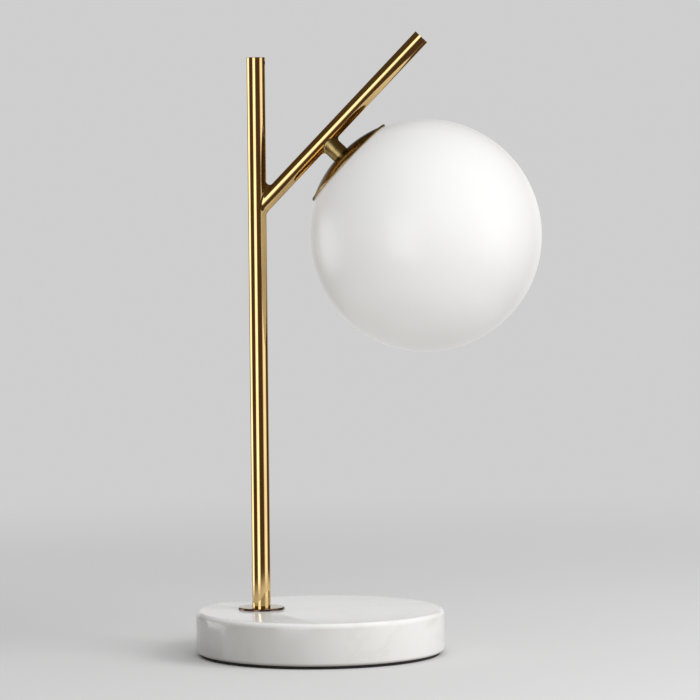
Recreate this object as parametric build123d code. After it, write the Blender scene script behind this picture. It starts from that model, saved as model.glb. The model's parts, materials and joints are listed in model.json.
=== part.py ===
from build123d import *
import os
from math import cos, radians, sin, sqrt

# Table lamp: an opal glass globe hangs from a leaning arm, which branches off a
# brass stem on a round marble base. Millimetres, +Z up. The origin is the centre
# of the base's underside, and the arm leans towards +X in the XZ plane.

# ---- base ----
BASE_RADIUS = 107.5
BASE_THICKNESS = 36.0
BASE_TOP_ROUND = 4.5
BASE_FOOT_ROUND = 3.0
PAD_THICKNESS = 2.5
PAD_INSET = 4.0  # how far the pad's edge stands back from the marble's side
STEM_OFFSET = 51.0  # the stem stands this far behind the base's centre
POCKET_MARGIN = 23.0  # wiring pocket's sides, beyond the stem's axis and the centre
POCKET_CORNER = 6.0
POCKET_DEPTH = 22.0
CHANNEL_WIDTH = 13.0  # cord channel from the pocket to the rear edge
CHANNEL_DEPTH = 16.0
CHANNEL_RIM_WALL = 14.0  # marble left between the channel and the edge
INLET_HEIGHT = 9.0  # inlet hole's centre above the marble's underside
INLET_RADIUS = 5.5
GROMMET_BORE_RADIUS = 3.4
GROMMET_FLANGE_RADIUS = 7.5
GROMMET_FLANGE = 1.5
GROMMET_BARB = 0.5
GROMMET_BARB_LENGTH = 2.5

# ---- foot fixings: a hollow M10 x 1 rod clamps the stem to the marble ----
ROD_RADIUS = 5.0
ROD_BORE_RADIUS = 3.5
ROD_END = 1.5  # rod left below the nut
ROD_IN_STEM = 12.0
ROD_HOLE_PLAY = 0.3
NUT_ACROSS_FLATS = 14.0
NUT_HEIGHT = 5.0
NUT_CHAMFER = 0.8
LOCK_WASHER_RADIUS = 9.0
LOCK_WASHER_THICKNESS = 1.5
LOCK_WASHER_SPLIT = 1.5
LOCK_WASHER_SLANT = 20.0  # degrees by which the split leans from the radius
BASE_WASHER_RADIUS = 15.0
BASE_WASHER_THICKNESS = 2.0
FLANGE_RADIUS = 20.0
FLANGE_THICKNESS = 2.0
FLANGE_ROUND = 0.8

# ---- stem ----
STEM_RADIUS = 8.0
STEM_WALL = 1.5
STEM_LENGTH = 475.0
STEM_EDGE = 0.3
FOOT_BUSH_LENGTH = 18.0
STEM_PLUG_LENGTH = 14.0
PLUG_EDGE = 0.4
PLUG_SCREW_DROP = 4.8  # screw's axis below the stem's top
PLUG_SCREW_AZIMUTH = -15.0  # turned from the arm's side towards the front
PLUG_SCREW_RADIUS = 1.5
PLUG_SCREW_LENGTH = 4.6
PLUG_SCREW_SUNK = 0.7
PLUG_SCREW_SOCKET = 1.5
PLUG_SCREW_SOCKET_DEPTH = 1.6
PLUG_SCREW_HOLE_PLAY = 0.15

# ---- arm ----
FORK_HEIGHT = 342.7  # where the two axes meet, above the stem's foot
ARM_TILT = 44.0  # degrees from the vertical
ARM_RADIUS = 7.0
ARM_WALL = 1.2
ARM_LENGTH = 206.0  # from the fork to the tip
ARM_PLUG_LENGTH = 10.0
FORK_BEND_RADIUS = 19.0  # centre line of the blend below the arm
FORK_FILLET = 3.0  # brazed fillet round the fork

# ---- neck ----
NECK_PLACE = 84.8  # neck's axis, from the fork along the arm
NECK_RADIUS = 7.9
NECK_REACH = 19.4  # arm's axis to the dish
NECK_BORE_RADIUS = 4.0
NECK_THREAD_DEPTH = 9.0
NECK_FILLET = 3.0
SADDLE_PINCH = 1.9  # neck's narrowing across the arm, so that it ends on the arm's sides
SADDLE_HEIGHT = 5.0  # length of the narrowing outside the arm
SADDLE_TOP = 2.0  # neck's end, below the arm's axis
SADDLE_SECTIONS = 5
SADDLE_EASE = 1.5  # power by which the narrowing grows along the saddle

# ---- dish over the globe ----
GLOBE_RADIUS = 100.0
DISH_GAP = 0.5  # between the dish and the glass
DISH_SHEET = 0.8
DISH_RADIUS = 45.0
DISH_FLAT_RADIUS = 14.0
DISH_BEAD_RADIUS = 0.9
DISH_BEAD_GAP = 0.35

# ---- head fixings, from the dish down ----
SPRING_SHEET = 0.6
SPRING_WIDTH = 9.0
SPRING_RING_RADIUS = 12.0
SPRING_COUNT = 3
SPRING_AZIMUTH = 60.0  # first finger, turned from the arm's direction
SPRING_DROP = 9.0  # finger's straight length below its bend
SPRING_SHOULDER_FALL = 4.2
SPRING_BEND = 1.6
SPRING_CURL = 2.2
SPRING_PLAY = 0.3  # between a finger and the mouth's lining
HEAD_WASHER_RADIUS = 10.0
HEAD_WASHER_THICKNESS = 1.0
HEAD_NUT_HEIGHT = 3.5
HOLDER_GAP = 1.0  # between the head nut and the lamp holder
HOLDER_CAP_HEIGHT = 12.0
HOLDER_SKIRT_HEIGHT = 30.0
HOLDER_RADIUS = 14.0
HOLDER_TAPER = 0.8
HOLDER_WALL = 1.6
HOLDER_ROUND = 3.0
HOLDER_BOSS = 6.0  # depth of the holder's threaded boss
HOLDER_RIB = 0.8
HOLDER_RIB_PITCH = 2.4
HOLDER_RIB_COUNT = 3
INSERT_HEIGHT = 8.0
SHELL_RADIUS = 7.3  # inside of the small screw shell
SHELL_SHEET = 0.4
SHELL_LENGTH = 19.0
SHELL_FLANGE = 1.6
CONTACT_WIDTH = 4.0
CONTACT_SHEET = 0.5
CONTACT_RISE = 2.2  # from the insert down to the contact's face
CONTACT_REACH = 4.5

# ---- globe ----
GLASS_WALL = 3.0
MOUTH_RADIUS = 31.0
MOUTH_ROUND = 0.9
LINING_RADIUS = 29.0  # inside of the soft lining in the mouth
LINING_FLANGE = 2.6
LINING_FLANGE_THICKNESS = 1.2

# ---- bulb, with a 14 mm screw cap ----
BULB_RADIUS = 22.5
BULB_LENGTH = 78.0
BULB_GLASS = 0.9
BULB_CAP_RADIUS = 6.95
BULB_CAP_LENGTH = 17.0
BULB_CAP_SHEET = 0.4
BULB_CAP_SLOPE = 1.5
BULB_CAP_MOUTH_RADIUS = 4.2
BULB_SHOULDER = 12.0  # hollow curve between the ball and the cap
BULB_NECK_IN_CAP = 4.0
BULB_TIP_RADIUS = 2.4
BULB_TIP_HEIGHT = 1.4
BULB_TIP_ROUND = 0.9
BULB_INSULATOR_HEIGHT = 2.4
BULB_TIP_GAP = 0.3  # between the bulb's tip and the holder's contact

# ---- leads and terminals ----
LEAD_RADIUS = 1.0
LEAD_SPREAD = 1.2  # each lead's distance from the plane of symmetry
LEAD_FORK_BEND = 24.0
LEAD_NECK_BEND = 6.5
LEAD_FOOT_BEND = 5.5
LEAD_FAN_BEND = 5.0
LEAD_IN_HOLDER = 4.5  # each lead's distance from the axis at the holder's insert
LEAD_FAN_HEIGHT = 4.4
LEAD_END = 2.0  # each lead's end, above the insert's foot
LEAD_STRAIGHT_AT_FOOT = 10.0
LEAD_STRAIGHT_AT_BLOCK = 6.0
LEAD_IN_BLOCK = 5.0
TERMINAL_PITCH = 8.0
TERMINAL_LENGTH = 14.0
TERMINAL_WIDTH = 18.0
TERMINAL_HEIGHT = 9.0
TERMINAL_DISTANCE = 30.0  # from the stem's axis to the block
TERMINAL_TOWER = 2.0  # screw towers under the block
TERMINAL_TOWER_RADIUS = 3.2
BARREL_RADIUS = 2.2
BARREL_INSET = 1.0
TERMINAL_SCREW_RADIUS = 1.5
TERMINAL_SCREW_INSET = 3.5  # screw's axis from the block's end
TERMINAL_SCREW_SLOT = 0.6

PLAY = 0.05  # between round pieces that are fixed to each other
CUT_PAST = 1.0  # how far a cut runs past the face that it opens

# ---- heights and places worked out from the sizes above ----
marble_foot = PAD_THICKNESS
marble_top = marble_foot + BASE_THICKNESS
pocket_top = marble_foot + POCKET_DEPTH
stem_foot = marble_top + FLANGE_THICKNESS
stem_top = stem_foot + STEM_LENGTH
stem_bore_radius = STEM_RADIUS - STEM_WALL
arm_bore_radius = ARM_RADIUS - ARM_WALL
washer_foot = pocket_top - BASE_WASHER_THICKNESS
lock_washer_foot = washer_foot - LOCK_WASHER_THICKNESS
nut_foot = lock_washer_foot - NUT_HEIGHT
rod_foot = nut_foot - ROD_END
rod_top = stem_foot + ROD_IN_STEM
inlet_height = marble_foot + INLET_HEIGHT

stem_axis = Pos(-STEM_OFFSET, 0, 0)
lean = radians(ARM_TILT)
fork = Vector(-STEM_OFFSET, 0, stem_foot + FORK_HEIGHT)
along_arm = Vector(sin(lean), 0, cos(lean))
out_of_arm = Vector(cos(lean), 0, -sin(lean))  # from the arm towards the globe
arm_frame = Plane(origin=fork, x_dir=(0, 1, 0), z_dir=along_arm)

# Heights in the head are measured from the globe's centre towards the arm.
dome_radius = GLOBE_RADIUS + DISH_GAP + DISH_SHEET
crown = sqrt(dome_radius**2 - DISH_FLAT_RADIUS**2)
neck_root = fork + along_arm * NECK_PLACE
globe_centre = neck_root + out_of_arm * (NECK_REACH + crown)
head_frame = Plane(origin=globe_centre, x_dir=along_arm, z_dir=out_of_arm * -1)
arm_height = crown + NECK_REACH
dish_underside = crown - DISH_SHEET
spring_foot = dish_underside - SPRING_SHEET
head_washer_foot = spring_foot - HEAD_WASHER_THICKNESS
head_nut_foot = head_washer_foot - HEAD_NUT_HEIGHT
holder_top = head_nut_foot - HOLDER_GAP
holder_seam = holder_top - HOLDER_CAP_HEIGHT
holder_foot = holder_seam - HOLDER_SKIRT_HEIGHT
insert_foot = holder_seam - INSERT_HEIGHT
contact_face = insert_foot - CONTACT_RISE
bulb_tip = contact_face - BULB_TIP_GAP
bulb_cap_top = bulb_tip - BULB_TIP_HEIGHT - BULB_INSULATOR_HEIGHT
bulb_cap_foot = bulb_cap_top - BULB_CAP_LENGTH
bulb_centre = bulb_tip - BULB_LENGTH + BULB_RADIUS
spring_radius = sqrt((LINING_RADIUS - SPRING_PLAY) ** 2 - (SPRING_WIDTH / 2) ** 2)
spring_turn = spring_foot - SPRING_SHOULDER_FALL
glass_inside = GLOBE_RADIUS - GLASS_WALL

terminal_start = TERMINAL_DISTANCE - STEM_OFFSET
terminal_foot = PAD_THICKNESS + TERMINAL_TOWER
lead_height = terminal_foot + TERMINAL_HEIGHT / 2
terminal_screw_foot = terminal_foot - TERMINAL_TOWER / 2


def ring(outer, inner, foot, height):
    """A flat round ring about the Z axis."""
    return Pos(0, 0, foot) * extrude(Circle(outer) - Circle(inner), height)


def turned(*outline):
    """A solid of revolution about Z, from (radius, height) points in order."""
    return revolve(Plane.XZ * make_face(Polyline(*outline, close=True)), Axis.Z)


def hexagon_nut(across_flats, bore, foot, height):
    hexagon = RegularPolygon(across_flats / 2, 6, major_radius=False)
    body = extrude(hexagon - Circle(bore), height)
    corner = across_flats / sqrt(3)
    cone = Cone(corner + height - NUT_CHAMFER, corner - NUT_CHAMFER, height,
                align=(Align.CENTER, Align.CENTER, Align.MIN))
    return Pos(0, 0, foot) * (body & cone)


# ---- base and foot ----

def base_disc():
    disc = Pos(0, 0, marble_foot) * extrude(Circle(BASE_RADIUS), BASE_THICKNESS)
    disc = fillet(disc.edges().group_by(Axis.Z)[-1], BASE_TOP_ROUND)
    disc = fillet(disc.edges().group_by(Axis.Z)[0], BASE_FOOT_ROUND)
    pocket = RectangleRounded(STEM_OFFSET + 2 * POCKET_MARGIN, 2 * POCKET_MARGIN, POCKET_CORNER)
    pocket = Pos(-STEM_OFFSET / 2, 0, marble_foot) * extrude(pocket, POCKET_DEPTH)
    channel_end = BASE_RADIUS - CHANNEL_RIM_WALL
    channel = Pos(0, channel_end / 2, marble_foot) * extrude(
        Rectangle(CHANNEL_WIDTH, channel_end), CHANNEL_DEPTH)
    inlet = Pos(0, channel_end - CUT_PAST, inlet_height) * Rot(-90, 0, 0) * extrude(
        Circle(INLET_RADIUS), CHANNEL_RIM_WALL + 2 * CUT_PAST)
    rod_hole = stem_axis * Pos(0, 0, marble_foot) * extrude(
        Circle(ROD_RADIUS + ROD_HOLE_PLAY), BASE_THICKNESS)
    return disc - pocket - channel - inlet - rod_hole


def base_pad():
    return extrude(Circle(BASE_RADIUS - PAD_INSET), PAD_THICKNESS)


def cord_grommet():
    """Rubber bush in the inlet hole, with a flange outside and a barb inside."""
    body_radius = INLET_RADIUS - PLAY
    barb_radius = INLET_RADIUS + GROMMET_BARB
    wall = CHANNEL_RIM_WALL
    bush = turned(
        (GROMMET_BORE_RADIUS, -wall - GROMMET_BARB_LENGTH),
        (body_radius, -wall - GROMMET_BARB_LENGTH),
        (barb_radius, -wall - PLAY),
        (body_radius, -wall - PLAY),
        (body_radius, PLAY),
        (GROMMET_FLANGE_RADIUS, PLAY),
        (GROMMET_FLANGE_RADIUS, GROMMET_FLANGE),
        (GROMMET_BORE_RADIUS, GROMMET_FLANGE))
    rim = bush.edges().group_by(Axis.Z)[-1].sort_by(SortBy.RADIUS)[-1]
    bush = fillet(rim, GROMMET_FLANGE / 2)
    return Pos(0, BASE_RADIUS, inlet_height) * Rot(-90, 0, 0) * bush


def flange_plate():
    plate = ring(FLANGE_RADIUS, ROD_RADIUS + ROD_HOLE_PLAY, marble_top, FLANGE_THICKNESS)
    rim = plate.edges().group_by(Axis.Z)[-1].sort_by(SortBy.RADIUS)[-1]
    return stem_axis * fillet(rim, FLANGE_ROUND)


def base_washer():
    return stem_axis * ring(BASE_WASHER_RADIUS, ROD_RADIUS + ROD_HOLE_PLAY,
                            washer_foot, BASE_WASHER_THICKNESS)


def lock_washer():
    washer = ring(LOCK_WASHER_RADIUS, ROD_RADIUS + ROD_HOLE_PLAY,
                  lock_washer_foot, LOCK_WASHER_THICKNESS)
    middle = (LOCK_WASHER_RADIUS + ROD_RADIUS) / 2
    split = Pos(0, middle, lock_washer_foot + LOCK_WASHER_THICKNESS / 2) * Rot(0, 0, LOCK_WASHER_SLANT) * Box(
        LOCK_WASHER_SPLIT, 2 * LOCK_WASHER_RADIUS - ROD_RADIUS, 2 * LOCK_WASHER_THICKNESS)
    return stem_axis * (washer - split)


def base_nut():
    return stem_axis * hexagon_nut(NUT_ACROSS_FLATS, ROD_RADIUS + PLAY, nut_foot, NUT_HEIGHT)


def foot_rod():
    return stem_axis * ring(ROD_RADIUS, ROD_BORE_RADIUS, rod_foot, rod_top - rod_foot)


# ---- stem ----

def plug_screw_line(start, length, radius):
    """A round bar along the plug screw's axis, from a radius outwards."""
    height = stem_top - PLUG_SCREW_DROP
    place = stem_axis * Pos(0, 0, height) * Rot(0, 0, PLUG_SCREW_AZIMUTH) * Rot(0, 90, 0)
    return place * Pos(0, 0, start) * extrude(Circle(radius), length)


def arm_bar(radius):
    """A round bar on the arm's axis, from the fork to the tip."""
    return arm_frame * extrude(Circle(radius), ARM_LENGTH)


def stem_bar(radius):
    return stem_axis * Pos(0, 0, stem_foot) * extrude(Circle(radius), STEM_LENGTH)


def stem_tube():
    tube = stem_bar(STEM_RADIUS)
    tube = chamfer(tube.edges().group_by(Axis.Z)[-1], STEM_EDGE)
    screw_hole = plug_screw_line(0, STEM_RADIUS + CUT_PAST, PLUG_SCREW_RADIUS + PLUG_SCREW_HOLE_PLAY)
    return tube - stem_bar(stem_bore_radius) - arm_bar(arm_bore_radius) - screw_hole


def stem_foot_bush():
    """Brazed into the stem's foot, and tapped for the rod."""
    bush = turned(
        (ROD_RADIUS + PLAY, stem_foot),
        (stem_bore_radius - PLAY, stem_foot),
        (stem_bore_radius - PLAY, stem_foot + FOOT_BUSH_LENGTH),
        (ROD_BORE_RADIUS, stem_foot + FOOT_BUSH_LENGTH),
        (ROD_BORE_RADIUS, rod_top + PLAY),
        (ROD_RADIUS + PLAY, rod_top + PLAY))
    return stem_axis * bush


def stem_plug():
    plug = extrude(Circle(stem_bore_radius - PLAY), STEM_PLUG_LENGTH)
    plug = chamfer(plug.edges().group_by(Axis.Z)[-1], PLUG_EDGE)
    plug = stem_axis * Pos(0, 0, stem_top - STEM_PLUG_LENGTH) * plug
    return plug - plug_screw_line(0, STEM_RADIUS, PLUG_SCREW_RADIUS + PLAY)


def plug_screw():
    """Headless screw with a hexagon socket, a little below the stem's surface."""
    tip = STEM_RADIUS - PLUG_SCREW_SUNK - PLUG_SCREW_LENGTH
    screw = plug_screw_line(tip, PLUG_SCREW_LENGTH, PLUG_SCREW_RADIUS)
    height = stem_top - PLUG_SCREW_DROP
    place = stem_axis * Pos(0, 0, height) * Rot(0, 0, PLUG_SCREW_AZIMUTH) * Rot(0, 90, 0)
    socket = extrude(RegularPolygon(PLUG_SCREW_SOCKET / 2, 6, major_radius=False),
                     PLUG_SCREW_SOCKET_DEPTH)
    mouth = tip + PLUG_SCREW_LENGTH - PLUG_SCREW_SOCKET_DEPTH
    return screw - place * Pos(0, 0, mouth) * socket


# ---- arm and neck ----

def bent_arm():
    """The arm's outside, bent into line with the stem below the fork."""
    low = fork - Vector(0, 0, FORK_BEND_RADIUS)
    route = FilletPolyline(low, fork, fork + along_arm * ARM_LENGTH, radius=FORK_BEND_RADIUS)
    section = Plane(origin=low, x_dir=(0, 1, 0), z_dir=(0, 0, 1)) * Circle(ARM_RADIUS)
    return sweep(section, path=route)


def crossing_edges(solid, centre, reach):
    """The edges near a place where one tube enters another."""
    curved = solid.edges().filter_by(GeomType.BSPLINE)
    return curved.filter_by(lambda edge: (edge.center() - centre).length < reach)


def arm_tube():
    stem = stem_bar(STEM_RADIUS)
    joined = stem + bent_arm()
    joined = fillet(crossing_edges(joined, fork, FORK_BEND_RADIUS + STEM_RADIUS), FORK_FILLET)
    lead_hole = head_frame * Pos(0, 0, crown) * extrude(Circle(NECK_BORE_RADIUS), NECK_REACH)
    return joined - stem - arm_bar(arm_bore_radius) - lead_hole


def arm_plug():
    plug = extrude(Circle(arm_bore_radius - PLAY), ARM_PLUG_LENGTH)
    plug = chamfer(plug.edges().group_by(Axis.Z)[-1], PLUG_EDGE)
    return arm_frame * Pos(0, 0, ARM_LENGTH - ARM_PLUG_LENGTH) * plug


def neck():
    """Solid turned neck: pinched to the arm's width at its root, and filleted there."""
    saddle_foot = arm_height - ARM_RADIUS - SADDLE_HEIGHT
    saddle_rise = arm_height - SADDLE_TOP - saddle_foot
    sections = [Pos(0, 0, saddle_foot) * Circle(NECK_RADIUS)]
    for step in range(1, SADDLE_SECTIONS):
        share = step / (SADDLE_SECTIONS - 1)
        across = NECK_RADIUS - SADDLE_PINCH * share**SADDLE_EASE
        sections.append(Pos(0, 0, saddle_foot + saddle_rise * share) * Ellipse(NECK_RADIUS, across))
    shaft = Pos(0, 0, crown) * extrude(Circle(NECK_RADIUS), saddle_foot - crown)
    local_arm = Pos(-NECK_PLACE / 2, 0, arm_height) * Rot(0, 90, 0) * extrude(
        Circle(ARM_RADIUS), NECK_PLACE)
    joined = local_arm + (shaft + loft(sections))
    on_arm = Vector(0, 0, arm_height - ARM_RADIUS / 2)
    joined = fillet(crossing_edges(joined, on_arm, ARM_RADIUS), NECK_FILLET)
    thread = Pos(0, 0, crown) * extrude(Circle(ROD_RADIUS + PLAY), NECK_THREAD_DEPTH)
    bore = Pos(0, 0, crown) * extrude(Circle(NECK_BORE_RADIUS), NECK_REACH)
    return head_frame * (joined - local_arm - thread - bore)


# ---- dish, springs and lamp holder ----

def dome_height(radius, sphere_radius):
    return sqrt(sphere_radius**2 - radius**2)


def cap_dish():
    """Spun dish that follows the globe, with a flat crown and a rolled bead at its rim."""
    inner_dome = dome_radius - DISH_SHEET
    inner_flat = sqrt(inner_dome**2 - dish_underside**2)
    bead_circle = DISH_RADIUS - DISH_BEAD_RADIUS
    bead_height = dome_height(bead_circle, GLOBE_RADIUS + DISH_BEAD_RADIUS + DISH_BEAD_GAP)
    hole = ROD_RADIUS + PLAY
    rim = Vector(bead_circle, dome_height(bead_circle, dome_radius))
    inner_rim = Vector(bead_circle, dome_height(bead_circle, inner_dome))
    halfway = bead_circle / 2
    outline = Curve() + [
        Line((hole, crown), (DISH_FLAT_RADIUS, crown)),
        ThreePointArc((DISH_FLAT_RADIUS, crown), (halfway, dome_height(halfway, dome_radius)), rim),
        Line(rim, inner_rim),
        ThreePointArc(inner_rim, (halfway, dome_height(halfway, inner_dome)),
                      (inner_flat, dish_underside)),
        Line((inner_flat, dish_underside), (hole, dish_underside)),
        Line((hole, dish_underside), (hole, crown)),
    ]
    shell = revolve(Plane.XZ * make_face(outline), Axis.Z)
    bead = Pos(0, 0, bead_height) * Torus(bead_circle, DISH_BEAD_RADIUS)
    return head_frame * (shell + bead)


def head_rod():
    foot = holder_top - HOLDER_BOSS
    top = crown + NECK_THREAD_DEPTH - PLAY
    return head_frame * ring(ROD_RADIUS, ROD_BORE_RADIUS, foot, top - foot)


def gallery_spring():
    """Spring washer with fingers that press outwards in the globe's mouth."""
    middle = SPRING_SHEET / 2
    out = spring_radius - middle
    knee = SPRING_RING_RADIUS
    low = spring_turn - SPRING_DROP
    spine = FilletPolyline(
        ((ROD_RADIUS + knee) / 2, spring_foot + middle),
        (knee, spring_foot + middle),
        (out - SPRING_CURL, spring_turn + middle),
        (out, spring_turn - SPRING_CURL),
        (out, low),
        (out - SPRING_CURL, low - SPRING_CURL), radius=SPRING_BEND)
    leaf = extrude(Plane.XZ * trace(spine, SPRING_SHEET), SPRING_WIDTH / 2, both=True)
    spring = ring(SPRING_RING_RADIUS, ROD_RADIUS + PLAY, spring_foot, SPRING_SHEET)
    for turn in range(SPRING_COUNT):
        spring += Rot(0, 0, SPRING_AZIMUTH + turn * 360 / SPRING_COUNT) * leaf
    return head_frame * spring


def head_washer():
    return head_frame * ring(HEAD_WASHER_RADIUS, ROD_RADIUS + ROD_HOLE_PLAY,
                             head_washer_foot, HEAD_WASHER_THICKNESS)


def head_nut():
    return head_frame * hexagon_nut(NUT_ACROSS_FLATS, ROD_RADIUS + PLAY,
                                    head_nut_foot, HEAD_NUT_HEIGHT)


def holder_cap():
    """Upper half of the lamp holder, with the threaded boss that takes the rod."""
    outside = Pos(0, 0, holder_seam) * extrude(Circle(HOLDER_RADIUS), HOLDER_CAP_HEIGHT)
    outside = fillet(outside.edges().group_by(Axis.Z)[-1], HOLDER_ROUND)
    room = Pos(0, 0, holder_seam) * extrude(
        Circle(HOLDER_RADIUS - HOLDER_WALL), HOLDER_CAP_HEIGHT - HOLDER_WALL)
    room = fillet(room.edges().group_by(Axis.Z)[-1], HOLDER_ROUND - HOLDER_WALL / 2)
    boss_foot = holder_top - HOLDER_BOSS
    boss = ring(ROD_RADIUS + HOLDER_WALL, ROD_RADIUS + PLAY, boss_foot, HOLDER_BOSS - HOLDER_WALL)
    rod_hole = Pos(0, 0, boss_foot) * extrude(
        Circle(ROD_RADIUS + PLAY), HOLDER_BOSS + CUT_PAST)
    return head_frame * (outside - room + boss - rod_hole)


def holder_skirt():
    """Lower half, tapered, with grip ribs round it."""
    top = holder_seam - PLAY
    foot_radius = HOLDER_RADIUS - HOLDER_TAPER
    skirt = turned(
        (HOLDER_RADIUS - HOLDER_WALL, top),
        (HOLDER_RADIUS, top),
        (foot_radius, holder_foot),
        (foot_radius - HOLDER_WALL, holder_foot))
    groove_inner = HOLDER_RADIUS - HOLDER_RIB
    for rib in range(HOLDER_RIB_COUNT):
        height = top - HOLDER_RIB_PITCH * (rib + 1)
        skirt -= ring(HOLDER_RADIUS + CUT_PAST, groove_inner, height, HOLDER_RIB)
    return head_frame * skirt


def skirt_inside(height):
    """Inside radius of the tapered skirt at a height."""
    share = (holder_seam - height) / HOLDER_SKIRT_HEIGHT
    return HOLDER_RADIUS - HOLDER_WALL - HOLDER_TAPER * share


def holder_insert():
    """Ceramic block that carries the contacts, with two holes for the leads."""
    block = Circle(skirt_inside(insert_foot) - PLAY)
    for side in (-1, 1):
        block -= Pos(0, side * LEAD_IN_HOLDER) * Circle(LEAD_RADIUS + PLAY)
    return head_frame * Pos(0, 0, insert_foot) * extrude(block, INSERT_HEIGHT - PLAY)


def screw_shell():
    outside = SHELL_RADIUS + SHELL_SHEET
    flange_radius = outside + SHELL_FLANGE
    shell = turned(
        (SHELL_RADIUS, insert_foot - SHELL_LENGTH),
        (outside, insert_foot - SHELL_LENGTH),
        (outside, insert_foot - SHELL_SHEET),
        (flange_radius, insert_foot - SHELL_SHEET),
        (flange_radius, insert_foot),
        (SHELL_RADIUS, insert_foot))
    return head_frame * shell


def centre_contact():
    """Springy tongue, cranked down to the middle of the shell."""
    middle = CONTACT_SHEET / 2
    spine = Polyline(
        (-CONTACT_REACH, insert_foot - middle),
        (-CONTACT_REACH + CONTACT_RISE, insert_foot - middle),
        (-CONTACT_RISE / 2, contact_face + middle),
        (CONTACT_RISE, contact_face + middle))
    tongue = extrude(Plane.XZ * trace(spine, CONTACT_SHEET), CONTACT_WIDTH / 2, both=True)
    return head_frame * tongue


# ---- globe ----

def globe_glass():
    shell = Sphere(GLOBE_RADIUS) - Sphere(glass_inside)
    shell -= extrude(Circle(MOUTH_RADIUS), GLOBE_RADIUS)
    mouth = shell.edges().filter_by(GeomType.CIRCLE).filter_by(
        lambda edge: abs(edge.radius - MOUTH_RADIUS) < PLAY)
    return head_frame * fillet(mouth, MOUTH_ROUND)


def mouth_lining():
    """Soft ring in the globe's mouth, with a flange inside the glass."""
    flange_radius = MOUTH_RADIUS + LINING_FLANGE
    flange_top = dome_height(flange_radius, glass_inside) - PLAY
    flange_foot = flange_top - LINING_FLANGE_THICKNESS
    top = dome_height(MOUTH_RADIUS, GLOBE_RADIUS) - MOUTH_ROUND
    lining = turned(
        (LINING_RADIUS, flange_foot),
        (flange_radius, flange_foot),
        (flange_radius, flange_top),
        (MOUTH_RADIUS - PLAY, flange_top),
        (MOUTH_RADIUS - PLAY, top),
        (LINING_RADIUS, top))
    return head_frame * lining


# ---- bulb ----

def bulb_form(shrink, top):
    """Ball, hollow shoulder and neck of the bulb, drawn in by an amount all over."""
    neck_radius = BULB_CAP_RADIUS - BULB_CAP_SHEET - PLAY - shrink
    ball_radius = BULB_RADIUS - shrink
    neck_height = top - bulb_centre
    profile = Circle(ball_radius) + Pos(0, neck_height / 2) * Rectangle(2 * neck_radius, neck_height)
    corners = profile.vertices().filter_by(lambda corner: 0 < corner.Y < neck_height - PLAY)
    profile = fillet(corners, BULB_SHOULDER + shrink)
    profile &= Pos(BULB_RADIUS, 0) * Rectangle(2 * BULB_RADIUS, 2 * BULB_LENGTH)
    return Pos(0, 0, bulb_centre) * revolve(Plane.XZ * profile, Axis.Z)


def bulb_glass():
    neck_top = bulb_cap_foot + BULB_NECK_IN_CAP
    return head_frame * (bulb_form(0, neck_top) - bulb_form(BULB_GLASS, neck_top + CUT_PAST))


def bulb_cap():
    inside = BULB_CAP_RADIUS - BULB_CAP_SHEET
    shoulder = bulb_cap_top - BULB_CAP_SLOPE
    cap = turned(
        (inside, bulb_cap_foot),
        (BULB_CAP_RADIUS, bulb_cap_foot),
        (BULB_CAP_RADIUS, shoulder),
        (BULB_CAP_MOUTH_RADIUS + BULB_CAP_SHEET, bulb_cap_top),
        (BULB_CAP_MOUTH_RADIUS, bulb_cap_top),
        (inside, shoulder - BULB_CAP_SHEET))
    return head_frame * cap


def bulb_insulator():
    lip = BULB_CAP_MOUTH_RADIUS + BULB_CAP_SHEET
    plug = turned(
        (0, bulb_cap_top - BULB_CAP_SHEET),
        (BULB_CAP_MOUTH_RADIUS - 2 * PLAY, bulb_cap_top - BULB_CAP_SHEET),
        (BULB_CAP_MOUTH_RADIUS - 2 * PLAY, bulb_cap_top + PLAY),
        (lip, bulb_cap_top + PLAY),
        (BULB_TIP_RADIUS, bulb_cap_top + BULB_INSULATOR_HEIGHT),
        (0, bulb_cap_top + BULB_INSULATOR_HEIGHT))
    return head_frame * plug


def bulb_contact():
    foot = bulb_tip - BULB_TIP_HEIGHT
    tip = Pos(0, 0, foot) * extrude(Circle(BULB_TIP_RADIUS), BULB_TIP_HEIGHT)
    return head_frame * fillet(tip.edges().group_by(Axis.Z)[-1], BULB_TIP_ROUND)


# ---- leads and terminals ----

def lead(side):
    """One insulated lead, from the terminal block up the stem, along the arm to the holder."""
    near = side * LEAD_SPREAD
    at_block = side * TERMINAL_PITCH / 2
    fan_top = holder_top - HOLDER_BOSS
    block_run = terminal_start - LEAD_STRAIGHT_AT_BLOCK
    foot_run = LEAD_STRAIGHT_AT_FOOT - STEM_OFFSET

    def in_head(spread, height):
        return head_frame.from_local_coords(Vector(0, spread, height))

    fanned = side * LEAD_IN_HOLDER
    route = FilletPolyline(
        Vector(terminal_start + LEAD_IN_BLOCK, at_block, lead_height),
        Vector(block_run, at_block, lead_height),
        Vector(foot_run, near, lead_height),
        Vector(-STEM_OFFSET, near, lead_height),
        fork + Vector(0, near, 0),
        neck_root + Vector(0, near, 0),
        in_head(near, fan_top),
        in_head(fanned, fan_top - LEAD_FAN_HEIGHT),
        in_head(fanned, insert_foot + LEAD_END),
        radius=[LEAD_FAN_BEND, LEAD_FAN_BEND, LEAD_FOOT_BEND, LEAD_FORK_BEND,
                LEAD_NECK_BEND, LEAD_FAN_BEND, LEAD_FAN_BEND])
    section = Plane(origin=route @ 0, z_dir=route % 0) * Circle(LEAD_RADIUS)
    return sweep(section, path=route)


def terminal_ways():
    """The four screw places in the block, as (x, y)."""
    near = terminal_start + TERMINAL_SCREW_INSET
    far = terminal_start + TERMINAL_LENGTH - TERMINAL_SCREW_INSET
    return [(x, side * TERMINAL_PITCH / 2) for x in (near, far) for side in (-1, 1)]


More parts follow.
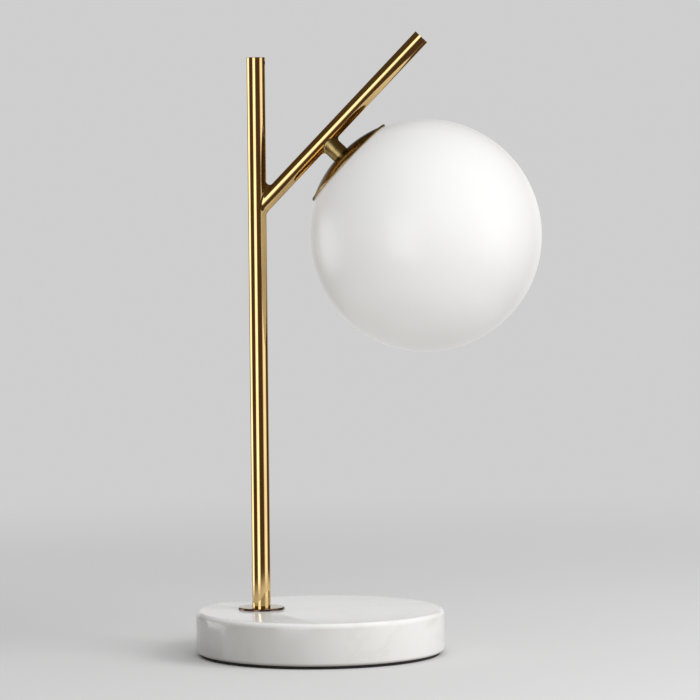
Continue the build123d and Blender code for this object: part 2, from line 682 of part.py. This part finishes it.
def terminal_bar(side, radius, inset=0.0):
    """A round bar along one way of the block."""
    start = Pos(terminal_start + inset, side * TERMINAL_PITCH / 2, lead_height)
    return start * Rot(0, 90, 0) * extrude(Circle(radius), TERMINAL_LENGTH - 2 * inset)


def terminal_screw_bar(place, radius, top):
    x, y = place
    return Pos(x, y, terminal_screw_foot) * extrude(Circle(radius), top - terminal_screw_foot)


def terminal_block():
    """Two-way block that joins the leads to the supply cord, screws downwards."""
    body = Pos(terminal_start + TERMINAL_LENGTH / 2, 0, terminal_foot) * extrude(
        Rectangle(TERMINAL_LENGTH, TERMINAL_WIDTH), TERMINAL_HEIGHT)
    body = fillet(body.edges().filter_by(Axis.Z), TERMINAL_SCREW_RADIUS)
    for x, y in terminal_ways():
        body += Pos(x, y, PAD_THICKNESS) * extrude(Circle(TERMINAL_TOWER_RADIUS), TERMINAL_TOWER)
    for x, y in terminal_ways():
        well = TERMINAL_TOWER + TERMINAL_HEIGHT / 2
        body -= Pos(x, y, PAD_THICKNESS) * extrude(Circle(TERMINAL_SCREW_RADIUS + PLAY), well)
    for side in (-1, 1):
        body -= terminal_bar(side, BARREL_RADIUS + PLAY)
    return body


def terminal_barrels():
    barrels = []
    for side in (-1, 1):
        barrel = terminal_bar(side, BARREL_RADIUS, BARREL_INSET)
        barrel -= terminal_bar(side, LEAD_RADIUS + PLAY)
        for place in terminal_ways():
            barrel -= terminal_screw_bar(place, TERMINAL_SCREW_RADIUS + PLAY, lead_height)
        barrels.append(barrel)
    return Compound(barrels)


def terminal_screws():
    """Four slotted screws, each turned in as far as its lead."""
    screws = []
    for x, y in terminal_ways():
        screw = terminal_screw_bar((x, y), TERMINAL_SCREW_RADIUS, lead_height - LEAD_RADIUS - PLAY)
        slot = Pos(x, y, terminal_screw_foot) * Box(
            2 * TERMINAL_TOWER_RADIUS, TERMINAL_SCREW_SLOT, 2 * TERMINAL_SCREW_SLOT)
        screws.append(screw - slot)
    return Compound(screws)


parts = {
    "base_disc": base_disc(),
    "base_pad": base_pad(),
    "cord_grommet": cord_grommet(),
    "flange_plate": flange_plate(),
    "base_washer": base_washer(),
    "lock_washer": lock_washer(),
    "base_nut": base_nut(),
    "foot_rod": foot_rod(),
    "terminal_block": terminal_block(),
    "terminal_barrels": terminal_barrels(),
    "terminal_screws": terminal_screws(),
    "lead_front": lead(-1),
    "lead_rear": lead(1),
    "stem_tube": stem_tube(),
    "stem_foot_bush": stem_foot_bush(),
    "stem_plug": stem_plug(),
    "plug_screw": plug_screw(),
    "arm_tube": arm_tube(),
    "arm_plug": arm_plug(),
    "neck": neck(),
    "cap_dish": cap_dish(),
    "head_rod": head_rod(),
    "gallery_spring": gallery_spring(),
    "head_washer": head_washer(),
    "head_nut": head_nut(),
    "holder_cap": holder_cap(),
    "holder_skirt": holder_skirt(),
    "holder_insert": holder_insert(),
    "screw_shell": screw_shell(),
    "centre_contact": centre_contact(),
    "globe_glass": globe_glass(),
    "mouth_lining": mouth_lining(),
    "bulb_glass": bulb_glass(),
    "bulb_cap": bulb_cap(),
    "bulb_insulator": bulb_insulator(),
    "bulb_contact": bulb_contact(),
}

os.makedirs("parts", exist_ok=True)
for name, shape in parts.items():
    export_step(shape, f"parts/{name}.step")
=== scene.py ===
import json
from math import asin, atan2, cos, degrees, pi, radians, sin

import bmesh
import bpy
from mathutils import Matrix, Vector


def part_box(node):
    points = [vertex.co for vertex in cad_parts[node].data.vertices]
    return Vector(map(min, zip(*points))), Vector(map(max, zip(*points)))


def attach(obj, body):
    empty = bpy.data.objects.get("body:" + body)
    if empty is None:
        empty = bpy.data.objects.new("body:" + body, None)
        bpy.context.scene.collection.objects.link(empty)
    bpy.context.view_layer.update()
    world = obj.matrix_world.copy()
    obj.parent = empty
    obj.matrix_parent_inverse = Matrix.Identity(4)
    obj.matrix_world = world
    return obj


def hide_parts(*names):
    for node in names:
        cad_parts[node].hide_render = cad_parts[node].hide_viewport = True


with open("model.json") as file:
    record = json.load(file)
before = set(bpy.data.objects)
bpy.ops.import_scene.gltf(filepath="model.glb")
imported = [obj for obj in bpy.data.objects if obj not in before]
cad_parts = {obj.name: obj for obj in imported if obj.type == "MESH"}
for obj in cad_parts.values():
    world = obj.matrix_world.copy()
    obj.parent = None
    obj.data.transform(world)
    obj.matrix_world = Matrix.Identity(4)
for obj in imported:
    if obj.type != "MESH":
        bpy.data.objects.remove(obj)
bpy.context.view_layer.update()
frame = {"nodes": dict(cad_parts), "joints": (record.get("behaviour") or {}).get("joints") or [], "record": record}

# A table lamp: an opal glass globe under a brass dish, on an arm that forks off a
# brass stem, which stands on a round marble base. Metres, in the frame's own axes:
# +Z up, +X the way the arm leans, -Y towards the viewer.

MM = 0.001
nodes = frame["nodes"]
record = frame["record"]
body_of_node = {node: body for body, members in record["behaviour"]["bodies"].items()
                for node in members}
slot_of_node = {part["node"]: part["material_slot"] for part in record["subparts"]}

# ---- sizes that the frame's boxes don't give ----
GLASS_WALL = 3.0 * MM
MOUTH_RADIUS = 31.0 * MM
MOUTH_ROUND = 0.9 * MM
# Heights inside the head are above the globe's centre, along the neck.
CAP_RADIUS = 6.95 * MM
CAP_SHEET = 0.4 * MM
CAP_FOOT = 50.13 * MM
CAP_TOP = 67.13 * MM
CAP_SLOPE = 1.5 * MM
CAP_MOUTH = 4.2 * MM
CAP_THREAD_FOOT = 54.6 * MM
CAP_THREAD_DEPTH = 0.55 * MM
THREAD_PITCH = 2.82 * MM
SHELL_RADIUS = 7.3 * MM
SHELL_SHEET = 0.4 * MM
SHELL_FLANGE = 1.6 * MM
SHELL_LENGTH = 19.0 * MM
SHELL_TOP = 73.43 * MM
SHELL_THREAD_DEPTH = 0.25 * MM

# ---- camera, as the picture was taken ----
CAMERA_DISTANCE = 3.2
CAMERA_HEIGHT = 0.421
CAMERA_PITCH = 2.83  # degrees down
CAMERA_YAW = 0.50  # degrees to the right
CAMERA_ROLL = 0.55
LAMP_TURN = 5.27  # degrees by which the arm comes towards the viewer
FOCAL_SHARE = 5.3036  # focal length over the picture's width

# ---- stage ----
BACKDROP = 0.62
BACKDROP_EDGE = (0.78, 0.90)  # how far behind the lamp its mirrored edge fades in
BACKDROP_TOP = (0.15, 0.25)  # the slopes between which its mirrored top fades out
FLOOR_RADIUS = 30.0
FLOOR_FADE = (0.5, 1.6)  # the distances between which the floor turns into the backdrop
FLOOR_ALBEDO = 0.70
FLOOR_BOUNCE = (0.31, 0.285, 0.26)  # what it throws back at the lamp, less than is seen
FLOOR_EDGE = (0.45, 0.65)  # the distances between which polish loses sight of the floor
SKY_LEFT = 0.06
SKY_RIGHT = 0.50
SKY_ABOVE = 0.80
ROOM = (0.08, 0.05, 0.03)
CEILING = (0.08, 0.055, 0.03)
# The soft panels that polish mirrors: one at the left, one in front, one at the right. Each
# has the bearing of its middle in degrees from the viewer's side, positive to the right, its
# width in degrees, its lowest and highest slope, and its brightness.
PANELS = ((-108, 34, -0.30, 0.15, 2.0),
          (-20, 28, -0.30, 0.40, 2.0),
          (75, 40, -0.30, 0.15, 1.3))
PANEL_FADE = 7
SLOPE_FADE = 0.08


# ---- shader maths ----

class Value:
    """An output socket in a node tree. Signs between values add Math nodes."""

    def __init__(self, tree, socket):
        self.tree = tree
        self.socket = socket

    def math(self, operation, *others):
        made = self.tree.nodes.new("ShaderNodeMath")
        made.operation = operation
        for slot, value in zip(made.inputs, others):
            if isinstance(value, Value):
                self.tree.links.new(value.socket, slot)
            else:
                slot.default_value = value
        return Value(self.tree, made.outputs[0])

    def __add__(self, other):
        return self.math("ADD", self, other)

    def __radd__(self, other):
        return self.math("ADD", other, self)

    def __sub__(self, other):
        return self.math("SUBTRACT", self, other)

    def __rsub__(self, other):
        return self.math("SUBTRACT", other, self)

    def __mul__(self, other):
        return self.math("MULTIPLY", self, other)

    def __rmul__(self, other):
        return self.math("MULTIPLY", other, self)

    def __abs__(self):
        return self.math("ABSOLUTE", self)

    def between(self, low, high):
        """0 at low, 1 at high, smooth between."""
        made = self.tree.nodes.new("ShaderNodeMapRange")
        made.interpolation_type = "SMOOTHSTEP"
        self.tree.links.new(self.socket, made.inputs["Value"])
        made.inputs["From Min"].default_value = low
        made.inputs["From Max"].default_value = high
        return Value(self.tree, made.outputs[0])


class Tree:
    """The nodes of one material or of the world."""

    def __init__(self, owner):
        owner.use_nodes = True
        self.tree = owner.node_tree
        self.tree.nodes.clear()

    def node(self, kind, settings=None, sockets=None, output=0):
        """One node: its settings first, then the values or links of its sockets."""
        made = self.tree.nodes.new(kind)
        for name, value in (settings or {}).items():
            setattr(made, name, value)
        for name, value in (sockets or {}).items():
            if isinstance(value, Value):
                self.tree.links.new(value.socket, made.inputs[name])
            else:
                made.inputs[name].default_value = value
        return Value(self.tree, made.outputs[output])

    def finish(self, surface, target="ShaderNodeOutputMaterial"):
        output = self.tree.nodes.new(target)
        self.tree.links.new(surface.socket, output.inputs["Surface"])


def grey(level):
    return (level, level, level, 1)


def mix_colours(tree, factor, low, high):
    """A colour between two, by a factor from 0 to 1."""
    made = tree.tree.nodes.new("ShaderNodeMix")
    made.data_type = "RGBA"
    for name, value in (("Factor", factor), ("A", low), ("B", high)):
        slot = next(s for s in made.inputs if s.name == name and s.enabled)
        if isinstance(value, Value):
            tree.tree.links.new(value.socket, slot)
        else:
            slot.default_value = value
    return Value(tree.tree, next(s for s in made.outputs if s.enabled))


def noise(tree, place, scale, detail=2.0, roughness=0.5, distortion=0.0):
    return tree.node("ShaderNodeTexNoise", {}, {
        "Vector": place, "Scale": scale, "Detail": detail,
        "Roughness": roughness, "Distortion": distortion})


def object_place(tree):
    return tree.node("ShaderNodeTexCoord", output="Object")


def along(tree, axis_turn, scale):
    """Object coordinates turned so that Z runs along a slanted piece, then stretched."""
    return tree.node("ShaderNodeMapping", {"vector_type": "POINT"}, {
        "Vector": object_place(tree), "Rotation": axis_turn, "Scale": scale})


# ---- finishes ----

def new_material(name):
    material = bpy.data.materials.new(name)
    return material, Tree(material)


def brass(name, colour, roughness, axis_turn=(0, 0, 0), edge=1.0):
    """Polished brass under lacquer: brushed round the tube, with a faint uneven tarnish.

    axis_turn lays Z along the piece, and edge dims what is mirrored at a glance."""
    material, tree = new_material(name)
    grain = noise(tree, along(tree, axis_turn, (2.0, 2.0, 900.0)), 1.0, 3.0)
    cloud = noise(tree, object_place(tree), 28.0, 3.0, 0.6)
    tarnish = mix_colours(tree, cloud.between(0.35, 0.7),
                          (*colour, 1), (*[c * 0.90 for c in colour], 1))
    bump = tree.node("ShaderNodeBump", {}, {
        "Strength": 0.007, "Distance": 0.0002, "Height": grain})
    surface = tree.node("ShaderNodeBsdfPrincipled", {}, {
        "Base Color": tarnish, "Metallic": 1.0, "Specular Tint": grey(edge),
        "Roughness": roughness + (grain - 0.5) * 0.02 + (cloud - 0.5) * 0.03,
        "Normal": bump})
    tree.finish(surface)
    return material


def plate_brass(top):
    """The foot plate: bright brass on its top face, with painted shade in dark brown round its edge."""
    material, tree = new_material("foot_plate_brass")
    place = object_place(tree)
    height = tree.node("ShaderNodeSeparateXYZ", {}, {"Vector": place}, "Z")
    cloud = noise(tree, place, 60.0, 3.0, 0.6)
    # painted shade: below the top face the plate turns dark brown and rougher
    clear_of_painted_edge_shade = (height + (cloud - 0.5) * 0.0002).between(top - 0.5 * MM, top - 0.1 * MM)
    face = mix_colours(tree, cloud, (0.80, 0.70, 0.55, 1), (0.72, 0.62, 0.47, 1))
    colour = mix_colours(tree, clear_of_painted_edge_shade, (0.17, 0.105, 0.078, 1), face)
    surface = tree.node("ShaderNodeBsdfPrincipled", {}, {
        "Base Color": colour, "Metallic": 1.0, "Roughness": 0.16 - clear_of_painted_edge_shade * 0.07 + cloud * 0.03})
    tree.finish(surface)
    return material


def marble():
    """White marble, polished, with faint grey clouds and hardly a vein."""
    material, tree = new_material("white_marble")
    place = object_place(tree)
    cloud = noise(tree, place, 11.0, 4.0, 0.5, 0.8)
    vein_field = noise(tree, place, 6.0, 5.0, 0.55, 1.4)
    vein = 1 - abs(vein_field - 0.5).between(0.0, 0.03)
    ground = mix_colours(tree, cloud.between(0.35, 0.70), (0.945, 0.945, 0.935, 1),
                         (0.905, 0.905, 0.893, 1))
    ground = mix_colours(tree, vein * cloud.between(0.42, 0.62) * 0.14, ground,
                         (0.70, 0.70, 0.68, 1))
    surface = tree.node("ShaderNodeBsdfPrincipled", {}, {
        "Base Color": ground, "Roughness": 0.09 + cloud * 0.03, "IOR": 1.5,
        "Subsurface Weight": 0.1, "Subsurface Radius": (0.004, 0.0035, 0.003),
        "Subsurface Scale": 1.0})
    tree.finish(surface)
    return material


OPAL_GLOW = 0.27


def opal_glass():
    """White opal glass: light goes into it and comes back from all over.

    A faint glow of its own stands in for that scattered light."""
    material, tree = new_material("opal_glass")
    cloud = noise(tree, object_place(tree), 7.0, 2.0)
    body = mix_colours(tree, cloud.between(0.3, 0.7), (0.58, 0.58, 0.575, 1),
                       (0.56, 0.56, 0.555, 1))
    surface = tree.node("ShaderNodeBsdfPrincipled", {}, {
        "Base Color": body, "Roughness": 0.26 + cloud * 0.04, "IOR": 1.5,
        "Emission Color": (1.0, 1.0, 0.985, 1), "Emission Strength": OPAL_GLOW})
    tree.finish(surface)
    return material


def plain(name, colour, roughness, metallic=0.0, grain_scale=400.0, variation=0.08, bump=0.1):
    """A small part's finish, with a fine grain in its colour, gloss and surface."""
    material, tree = new_material(name)
    grain = noise(tree, object_place(tree), grain_scale, 3.0)
    lighter = [min(1.0, c * (1 + variation)) for c in colour]
    darker = [c * (1 - variation) for c in colour]
    tint = mix_colours(tree, grain, (*darker, 1), (*lighter, 1))
    relief = tree.node("ShaderNodeBump", {}, {
        "Strength": bump, "Distance": 0.0002, "Height": grain})
    surface = tree.node("ShaderNodeBsdfPrincipled", {}, {
        "Base Color": tint, "Metallic": metallic,
        "Roughness": roughness + (grain - 0.5) * 0.1, "Normal": relief})
    tree.finish(surface)
    return material


BRASS = (0.85, 0.60, 0.27)
# The dish's brass is a darker copy of the stem's: painted shade.
SHADED_DISH_BRASS = (0.62, 0.44, 0.21)
NECK_BRASS = (0.56, 0.43, 0.18)
pull_off = next(joint for joint in frame["joints"] if joint["name"] == "globe_pull_off")
neck_way = Vector(pull_off["axis"])  # square to the arm, pointing out of the dish
arm_lean = neck_way.angle(Vector((1, 0, 0)))  # the arm's lean from the vertical
neck_turn = (0, pi / 2 - arm_lean, 0)

finishes = {
    "marble": marble(),
    "pad_rubber": plain("pad_rubber", (0.03, 0.03, 0.03), 0.75, bump=0.4),
    "grommet_rubber": plain("grommet_rubber", (0.03, 0.03, 0.032), 0.5),
    "brass": brass("stem_brass", BRASS, 0.06),
    "dish_brass": brass("dish_brass", SHADED_DISH_BRASS, 0.16, neck_turn, 0.35),
    "turned_brass": plain("turned_brass", (0.78, 0.60, 0.32), 0.3, 1.0),
    "zinc_steel": plain("zinc_steel", (0.62, 0.63, 0.62), 0.32, 1.0),
    "dark_steel": plain("dark_steel", (0.05, 0.045, 0.04), 0.4, 0.8),
    "spring_steel": plain("spring_steel", (0.58, 0.57, 0.55), 0.25, 1.0),
    "opal_glass": opal_glass(),
    "lining_rubber": plain("lining_rubber", (0.80, 0.80, 0.77), 0.55),
    "bulb_glass": plain("bulb_glass", (0.88, 0.88, 0.86), 0.35, grain_scale=900.0, variation=0.02),
    "bulb_cap": plain("bulb_cap", (0.78, 0.77, 0.73), 0.28, 1.0),
    "bulb_insulator": plain("bulb_insulator", (0.02, 0.02, 0.025), 0.15),
    "solder": plain("solder", (0.55, 0.55, 0.54), 0.45, 1.0),
    "holder_plastic": plain("holder_plastic", (0.035, 0.035, 0.035), 0.35),
    "insert_ceramic": plain("insert_ceramic", (0.85, 0.83, 0.77), 0.6),
    "terminal_plastic": plain("terminal_plastic", (0.84, 0.83, 0.77), 0.45),
    "lead_brown": plain("lead_brown", (0.16, 0.07, 0.035), 0.45),
    "lead_blue": plain("lead_blue", (0.03, 0.13, 0.42), 0.45),
}
arm_brass = brass("arm_brass", BRASS, 0.08, (0, -arm_lean, 0))
neck_brass = brass("neck_brass", NECK_BRASS, 0.36, neck_turn)


# ---- pieces ----

WELD = 0.002 * MM
SHARP = radians(32)
SHEET_SHARP = radians(50)  # for thin rolled sheet, whose thread stays smooth
GLOBE_STEPS = 200
GLOBE_ARC_STEPS = 90
SHEET_STEPS = 72


def add_piece(mesh_form, name, node, material=None, sharp=SHARP):
    """Makes a finished piece of a bmesh, in place of a node, on that node's body."""
    for edge in mesh_form.edges:
        edge.smooth = len(edge.link_faces) == 2 and edge.calc_face_angle(0) < sharp
    for face in mesh_form.faces:
        face.smooth = True
    mesh = bpy.data.meshes.new(name)
    mesh_form.to_mesh(mesh)
    mesh_form.free()
    piece = bpy.data.objects.new(name, mesh)
    bpy.context.scene.collection.objects.link(piece)
    mesh.materials.append(material or finishes[slot_of_node[node]])
    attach(piece, body_of_node[node])
    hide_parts(node)
    return piece


def merged(node):
    """A node's triangles, joined at their corners."""
    form = bmesh.new()
    form.from_mesh(nodes[node].data)
    bmesh.ops.remove_doubles(form, verts=form.verts, dist=WELD)
    bmesh.ops.dissolve_degenerate(form, dist=WELD, edges=form.edges)
    return form


def turned(outline, place, segments, rounds=()):
    """A closed outline of (radius, height) points, spun round a place's Z axis.

    rounds gives (corner's number, radius) for the corners that are rounded."""
    form = bmesh.new()
    corners = [form.verts.new((radius, 0, height)) for radius, height in outline]
    for first, second in zip(corners, corners[1:] + corners[:1]):
        if first.co.x > WELD or second.co.x > WELD:
            form.edges.new((first, second))
    form.verts.ensure_lookup_table()
    for number, radius in rounds:
        bmesh.ops.bevel(form, geom=[corners[number]], offset=radius, offset_type="OFFSET",
                        affect="VERTICES", segments=5, profile=0.5, material=-1)
    bmesh.ops.spin(form, geom=form.verts[:] + form.edges[:], cent=(0, 0, 0), axis=(0, 0, 1),
                   angle=2 * pi, steps=segments, use_merge=True)
    bmesh.ops.remove_doubles(form, verts=form.verts, dist=WELD)
    bmesh.ops.recalc_face_normals(form, faces=form.faces)
    form.transform(place)
    return form


def roll_thread(form, low, high, depth, pitch):
    """Presses a round thread into the walls of a turned sheet, before it is placed."""
    for corner in form.verts:
        height = corner.co.z
        if low < height < high:
            radius = corner.co.xy.length
            turn = atan2(corner.co.y, corner.co.x) / (2 * pi)
            ends = min(1.0, (height - low) / (0.6 * pitch), (high - height) / (0.6 * pitch))
            press = depth * ends * (0.5 + 0.5 * cos(2 * pi * (height / pitch - turn)))
            corner.co.xy *= (radius - press) / radius


def steps_between(start, end, count):
    """Evenly spaced points between two, the first left out."""
    return [(start[0] + (end[0] - start[0]) * step / count,
             start[1] + (end[1] - start[1]) * step / count) for step in range(1, count + 1)]


def arc(radius, start, end, steps):
    """Points of an arc, by angles in degrees from the radius axis."""
    angles = [radians(start + (end - start) * step / steps) for step in range(steps + 1)]
    return [(radius * cos(angle), radius * sin(angle)) for angle in angles]


globe_low, globe_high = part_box("globe_glass")
globe_centre = (globe_low + globe_high) / 2
globe_radius = (globe_high.y - globe_low.y) / 2 - 0.01 * MM  # stays inside the CAD's box
up_arm = Vector((-neck_way.z, 0, neck_way.x))  # along the arm, towards its tip
head_place = Matrix.Translation(globe_centre) @ Matrix(
    (up_arm, (-neck_way).cross(up_arm), -neck_way)).transposed().to_4x4()


def finished_nodes():
    """Every node gets its slot's finish; those below also get a new mesh."""
    for name, piece in nodes.items():
        material = arm_brass if name.startswith("arm") else finishes[slot_of_node[name]]
        piece.data.materials.clear()
        piece.data.materials.append(material)


def add_merged(node, name, material=None, sharp=SHARP):
    return add_piece(merged(node), name, node, material, sharp)


def globe():
    """The opal shell, with a rounded lip at its mouth."""
    inside = globe_radius - GLASS_WALL
    outer_end = 90 - degrees(asin(MOUTH_RADIUS / globe_radius))
    inner_end = 90 - degrees(asin(MOUTH_RADIUS / inside))
    outline = arc(globe_radius, -90, outer_end, GLOBE_ARC_STEPS)
    outline += arc(inside, inner_end, -90, GLOBE_ARC_STEPS)
    rounds = ((GLOBE_ARC_STEPS, MOUTH_ROUND), (GLOBE_ARC_STEPS + 1, MOUTH_ROUND))
    form = turned(outline, head_place, GLOBE_STEPS, rounds)
    return add_piece(form, "globe_opal", "globe_glass")


def bulb_screw_cap():
    """Thin sheet with a thread rolled into it, and a slope up to the insulator."""
    inside = CAP_RADIUS - CAP_SHEET
    shoulder = CAP_TOP - CAP_SLOPE
    outline = [(inside, CAP_FOOT), (CAP_RADIUS, CAP_FOOT)]
    outline += steps_between(outline[-1], (CAP_RADIUS, shoulder), 60)
    outline += [(CAP_MOUTH + CAP_SHEET, CAP_TOP), (CAP_MOUTH, CAP_TOP),
                (inside, shoulder - CAP_SHEET)]
    outline += steps_between(outline[-1], (inside, CAP_FOOT), 60)[:-1]
    form = turned(outline, Matrix.Identity(4), SHEET_STEPS)
    roll_thread(form, CAP_THREAD_FOOT, shoulder - 0.2 * MM, CAP_THREAD_DEPTH, THREAD_PITCH)
    form.transform(head_place)
    return add_piece(form, "bulb_screw_cap", "bulb_cap", sharp=SHEET_SHARP)


def holder_shell():
    """The holder's threaded sleeve, with a turned-out flange against the insert."""
    outside = SHELL_RADIUS + SHELL_SHEET
    foot = SHELL_TOP - SHELL_LENGTH
    outline = [(SHELL_RADIUS, foot), (outside, foot)]
    outline += steps_between(outline[-1], (outside, SHELL_TOP - SHELL_SHEET), 50)
    outline += [(outside + SHELL_FLANGE, SHELL_TOP - SHELL_SHEET),
                (outside + SHELL_FLANGE, SHELL_TOP), (SHELL_RADIUS, SHELL_TOP)]
    outline += steps_between(outline[-1], (SHELL_RADIUS, foot), 50)[:-1]
    form = turned(outline, Matrix.Identity(4), SHEET_STEPS)
    roll_thread(form, foot + 1 * MM, SHELL_TOP - 1 * MM, SHELL_THREAD_DEPTH, THREAD_PITCH)
    form.transform(head_place)
    return add_piece(form, "lamp_holder_shell", "screw_shell", sharp=SHEET_SHARP)


finished_nodes()
for node, name in (("base_disc", "base_marble"), ("base_pad", "base_underlay"),
                   ("cord_grommet", "cord_bush"),
                   ("stem_tube", "stem"), ("stem_plug", "stem_cap"),
                   ("plug_screw", "stem_cap_screw"),
                   ("cap_dish", "spun_dish"),
                   ("mouth_lining", "globe_lining"), ("bulb_glass", "bulb_envelope"),
                   ("holder_cap", "lamp_holder_cap"),
                   ("holder_skirt", "lamp_holder_skirt"), ("gallery_spring", "globe_spring"),
                   ("head_rod", "head_pipe"),
                   ("terminal_block", "terminal_body")):
    add_merged(node, name)
for node, name in (("arm_tube", "arm"), ("arm_plug", "arm_cap")):
    add_merged(node, name, arm_brass)
add_merged("neck", "arm_neck", neck_brass)
add_merged("flange_plate", "foot_plate", plate_brass(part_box("flange_plate")[1].z))
globe()
bulb_screw_cap()
holder_shell()


# ---- stage, light and camera ----

def seen_directly(tree):
    """Is Glossy Ray, and one where the eye, polish or clear glass shows the stage itself."""
    rays = tree.tree.nodes.new("ShaderNodeLightPath")
    camera_ray, glossy_ray, clear_ray = (Value(tree.tree, rays.outputs[name]) for name in (
        "Is Camera Ray", "Is Glossy Ray", "Is Transmission Ray"))
    return glossy_ray, camera_ray + glossy_ray + clear_ray


def floor():
    """A pale floor that fades into the backdrop's colour away from the lamp.

    Polish mirrors it close to the lamp, and the room past that."""
    material, tree = new_material("pale_floor")
    place = object_place(tree)
    distance = tree.node("ShaderNodeVectorMath", {"operation": "LENGTH"}, {0: place}, "Value")
    glossy_ray, direct = seen_directly(tree)
    lit = tree.node("ShaderNodeBsdfDiffuse", {}, {
        "Color": mix_colours(tree, direct, (*FLOOR_BOUNCE, 1), grey(FLOOR_ALBEDO))})
    far = tree.node("ShaderNodeEmission", {}, {"Color": grey(BACKDROP), "Strength": 1.0})
    blended = tree.node("ShaderNodeMixShader", {}, {
        0: distance.between(*FLOOR_FADE), 1: lit, 2: far})
    clear = tree.node("ShaderNodeBsdfTransparent")
    surface = tree.node("ShaderNodeMixShader", {}, {
        0: glossy_ray * distance.between(*FLOOR_EDGE), 1: blended, 2: clear})
    tree.finish(surface)
    form = bmesh.new()
    bmesh.ops.create_circle(form, cap_ends=True, segments=96, radius=FLOOR_RADIUS)
    mesh = bpy.data.meshes.new("floor")
    form.to_mesh(mesh)
    form.free()
    ground = bpy.data.objects.new("floor", mesh)
    bpy.context.scene.collection.objects.link(ground)
    mesh.materials.append(material)


def panel_share(bearing, slope, middle, width, low, high):
    """How much of a soft-edged panel lies in a direction, from none to one."""
    left, right = middle - width / 2, middle + width / 2
    across = bearing.between(left - PANEL_FADE, left + PANEL_FADE)
    across = across * (1 - bearing.between(right - PANEL_FADE, right + PANEL_FADE))
    up = slope.between(low - SLOPE_FADE, low + SLOPE_FADE)
    return across * up * (1 - slope.between(high - SLOPE_FADE, high + SLOPE_FADE))


def studio():
    """Plain backdrop for the eye, an even sky for matt surfaces, soft boxes for polish."""
    world = bpy.data.worlds.new("studio")
    bpy.context.scene.world = world
    world.cycles.sampling_method = "NONE"
    tree = Tree(world)
    way = tree.node("ShaderNodeTexCoord", output="Generated")
    parts = tree.tree.nodes.new("ShaderNodeSeparateXYZ")
    tree.tree.links.new(way.socket, parts.inputs[0])
    x, y, z = (Value(tree.tree, parts.outputs[name]) for name in "XYZ")
    bearing = x.math("ARCTAN2", x, -1 * y) * (180 / pi)
    polish = mix_colours(tree, z.between(0.1, 0.6), (*ROOM, 1), (*CEILING, 1))
    behind = y.between(*BACKDROP_EDGE) * (1 - z.between(*BACKDROP_TOP))
    polish = mix_colours(tree, behind, polish, grey(BACKDROP))
    for middle, width, low, high, brightness in PANELS:
        part = panel_share(bearing, z, middle, width, low, high)
        polish = mix_colours(tree, part, polish, grey(brightness))
    sky = mix_colours(tree, x.between(-1, 1), grey(SKY_LEFT), grey(SKY_RIGHT))
    sky = mix_colours(tree, z.between(0.1, 0.95), sky, grey(SKY_ABOVE))
    glossy_ray, direct = seen_directly(tree)
    colour = mix_colours(tree, direct, sky, grey(BACKDROP))
    colour = mix_colours(tree, glossy_ray, colour, polish)
    tree.finish(tree.node("ShaderNodeBackground", {}, {"Color": colour, "Strength": 1.0}),
                "ShaderNodeOutputWorld")


def soft_box(name, azimuth, elevation, distance, width, height, power, aim=(0, 0, 0.25),
             spread=180):
    """A soft light, aimed at a point of the lamp, that polish doesn't mirror."""
    light = bpy.data.lights.new(name, "AREA")
    light.shape = "RECTANGLE"
    light.size = width
    light.size_y = height
    light.energy = power
    light.spread = radians(spread)
    holder = bpy.data.objects.new(name, light)
    bpy.context.scene.collection.objects.link(holder)
    turn, rise = radians(azimuth), radians(elevation)
    way = Vector((sin(turn) * cos(rise), -cos(turn) * cos(rise), sin(rise)))
    holder.location = Vector(aim) + way * distance
    holder.rotation_euler = way.to_track_quat("Z", "Y").to_euler()
    holder.visible_camera = False
    holder.visible_glossy = False


def camera():
    """Placed by the picture's own perspective, in the lamp's frame."""
    pitch, yaw, roll, turn = (radians(a) for a in (
        CAMERA_PITCH, CAMERA_YAW, CAMERA_ROLL, LAMP_TURN))
    ahead = Vector((sin(yaw) * cos(pitch), cos(yaw) * cos(pitch), -sin(pitch)))
    level_right = Vector((cos(yaw), -sin(yaw), 0))
    level_down = ahead.cross(level_right)
    right = level_right * cos(roll) + level_down * sin(roll)
    down = level_down * cos(roll) - level_right * sin(roll)
    place = Matrix((right, -down, -ahead)).transposed().to_4x4()
    place.translation = Vector((0, -CAMERA_DISTANCE, CAMERA_HEIGHT))
    eye = bpy.data.cameras.new("viewer")
    eye.sensor_width = 36.0
    eye.lens = FOCAL_SHARE * eye.sensor_width
    holder = bpy.data.objects.new("viewer", eye)
    bpy.context.scene.collection.objects.link(holder)
    holder.matrix_world = Matrix.Rotation(turn, 4, "Z") @ place
    bpy.context.scene.camera = holder


floor()
studio()
# Each lamp's bearing, elevation, distance, width, height and power.
soft_box("key", 68, 26, 2.0, 1.2, 1.2, 22)
soft_box("front_fill", 20, 25, 2.5, 1.2, 1.2, 8)
soft_box("globe_fill", -12, -14, 1.0, 0.3, 0.3, 0.10, globe_centre, 30)
camera()
bpy.context.scene.view_settings.view_transform = "Standard"
